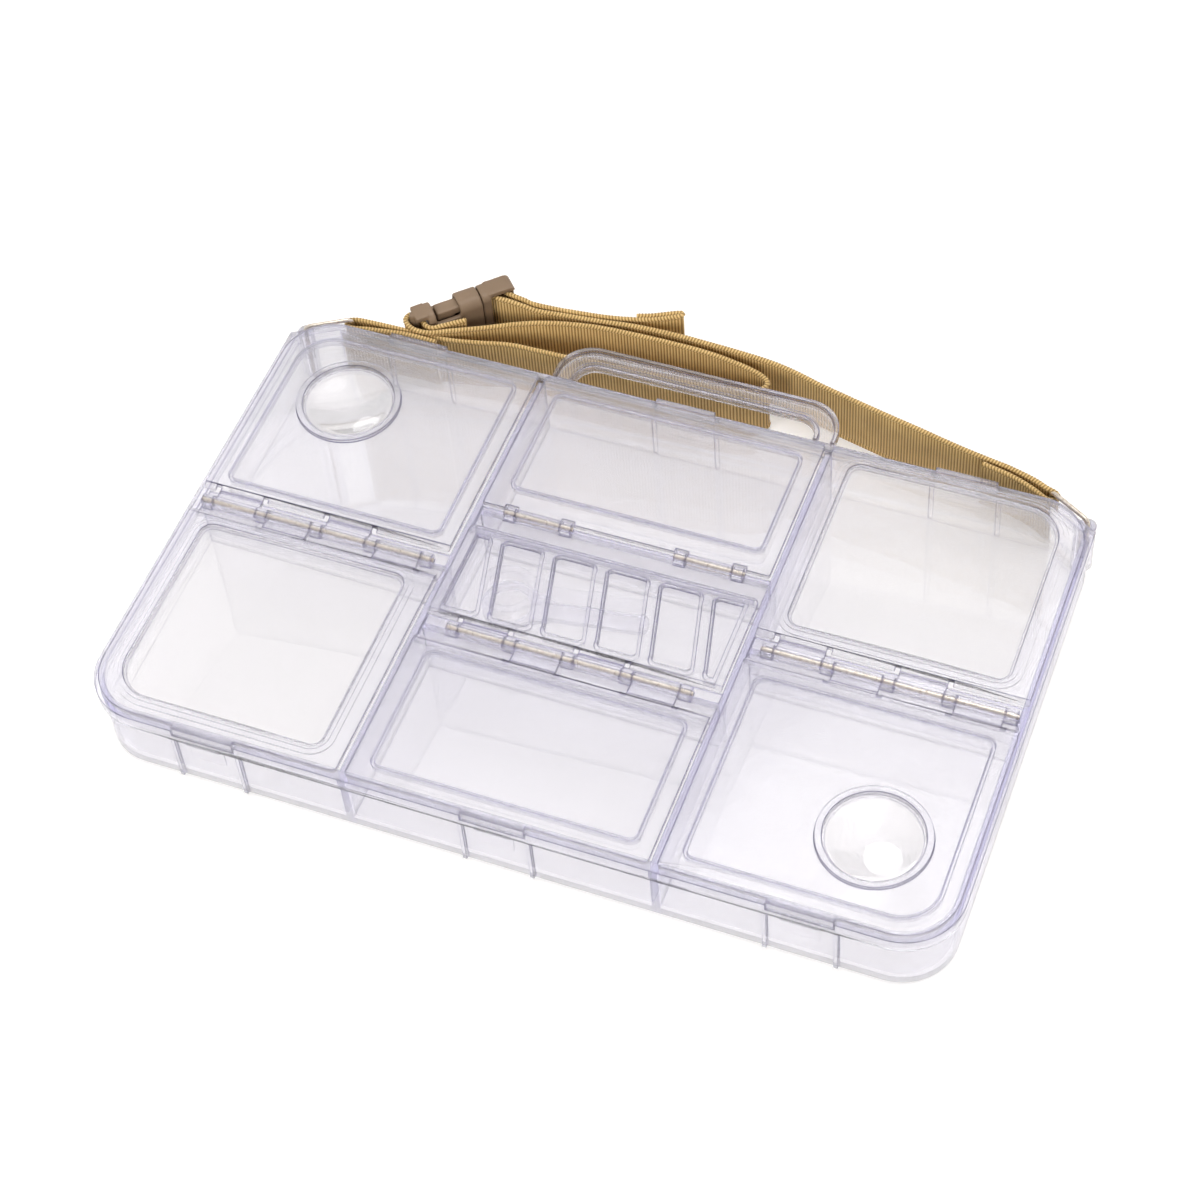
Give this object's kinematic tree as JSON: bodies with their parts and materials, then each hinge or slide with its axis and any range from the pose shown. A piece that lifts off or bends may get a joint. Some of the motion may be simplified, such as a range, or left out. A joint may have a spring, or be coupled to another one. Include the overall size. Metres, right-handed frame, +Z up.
{
  "type": "mineral specimen box",
  "caption": "Clear plastic specimen box with hinged compartment lids, magnifier windows, a carry handle and a khaki webbing strap with a side-release buckle.",
  "frame": {"origin": "middle of the underside of the tray, where the box rests", "axes": "+X runs along the front edge, to the right of someone who faces the front latches, +Y towards the back edge with the carry handle and the strap, and +Z up, out of the compartments"},
  "size_m": [0.319, 0.2439, 0.034],
  "materials": {
    "clear_plastic": "clear glossy moulded plastic",
    "lens_plastic": "polished clear lens plastic",
    "steel_wire": "drawn steel wire",
    "webbing": "ribbed khaki webbing",
    "buckle_plastic": "fine matte moulded plastic"
  },
  "bodies": {
    "root": {"tray": "clear_plastic", "carry_handle": "clear_plastic", "hinge_pin_left": "steel_wire", "hinge_pin_right": "steel_wire", "hinge_pin_front": "steel_wire", "hinge_pins_back": "steel_wire", "strap_ring_left": "steel_wire", "strap_ring_right": "steel_wire", "strap_left": "webbing", "webbing_end_right": "webbing", "buckle_female": "buckle_plastic", "hand_lens_frame": "clear_plastic", "hand_lens_glass": "lens_plastic"},
    "back_left_lid": {"lid_back_left": "clear_plastic", "round_lens_left": "lens_plastic"},
    "front_left_lid": {"lid_front_left": "clear_plastic", "window_lens_left": "lens_plastic"},
    "back_middle_lid": {"lid_back_middle": "clear_plastic"},
    "centre_lid": {"lid_centre": "clear_plastic"},
    "front_middle_lid": {"lid_front_middle": "clear_plastic"},
    "back_right_lid": {"lid_back_right": "clear_plastic", "window_lens_right": "lens_plastic"},
    "front_right_lid": {"lid_front_right": "clear_plastic", "round_lens_right": "lens_plastic"},
    "buckle_plug": {"buckle_male": "buckle_plastic", "strap_right": "webbing"}
  },
  "joints": [
    {"name": "open_back_left", "type": "hinge", "parent": "root", "child": "back_left_lid", "pos_m": [-0.109, 0.0005, 0.0296], "axis": [1, 0, 0], "range_deg": [0, 76]},
    {"name": "open_front_left", "type": "hinge", "parent": "root", "child": "front_left_lid", "pos_m": [-0.109, 0.0005, 0.0296], "axis": [-1, 0, 0], "range_deg": [0, 76]},
    {"name": "open_back_middle", "type": "hinge", "parent": "root", "child": "back_middle_lid", "pos_m": [0, 0.0295, 0.0296], "axis": [1, 0, 0], "range_deg": [0, 100]},
    {"name": "open_centre", "type": "hinge", "parent": "root", "child": "centre_lid", "pos_m": [0, -0.0255, 0.0296], "axis": [1, 0, 0], "range_deg": [0, 75]},
    {"name": "open_front_middle", "type": "hinge", "parent": "root", "child": "front_middle_lid", "pos_m": [0, -0.0255, 0.0296], "axis": [-1, 0, 0], "range_deg": [0, 78]},
    {"name": "open_back_right", "type": "hinge", "parent": "root", "child": "back_right_lid", "pos_m": [0.109, 0.0005, 0.0296], "axis": [1, 0, 0], "range_deg": [0, 76]},
    {"name": "open_front_right", "type": "hinge", "parent": "root", "child": "front_right_lid", "pos_m": [0.109, 0.0005, 0.0296], "axis": [-1, 0, 0], "range_deg": [0, 76]},
    {"name": "buckle_release", "type": "slide", "parent": "root", "child": "buckle_plug", "axis": [0.7254, 0.6884, 0], "range_m": [0, 0.014]}
  ]
}
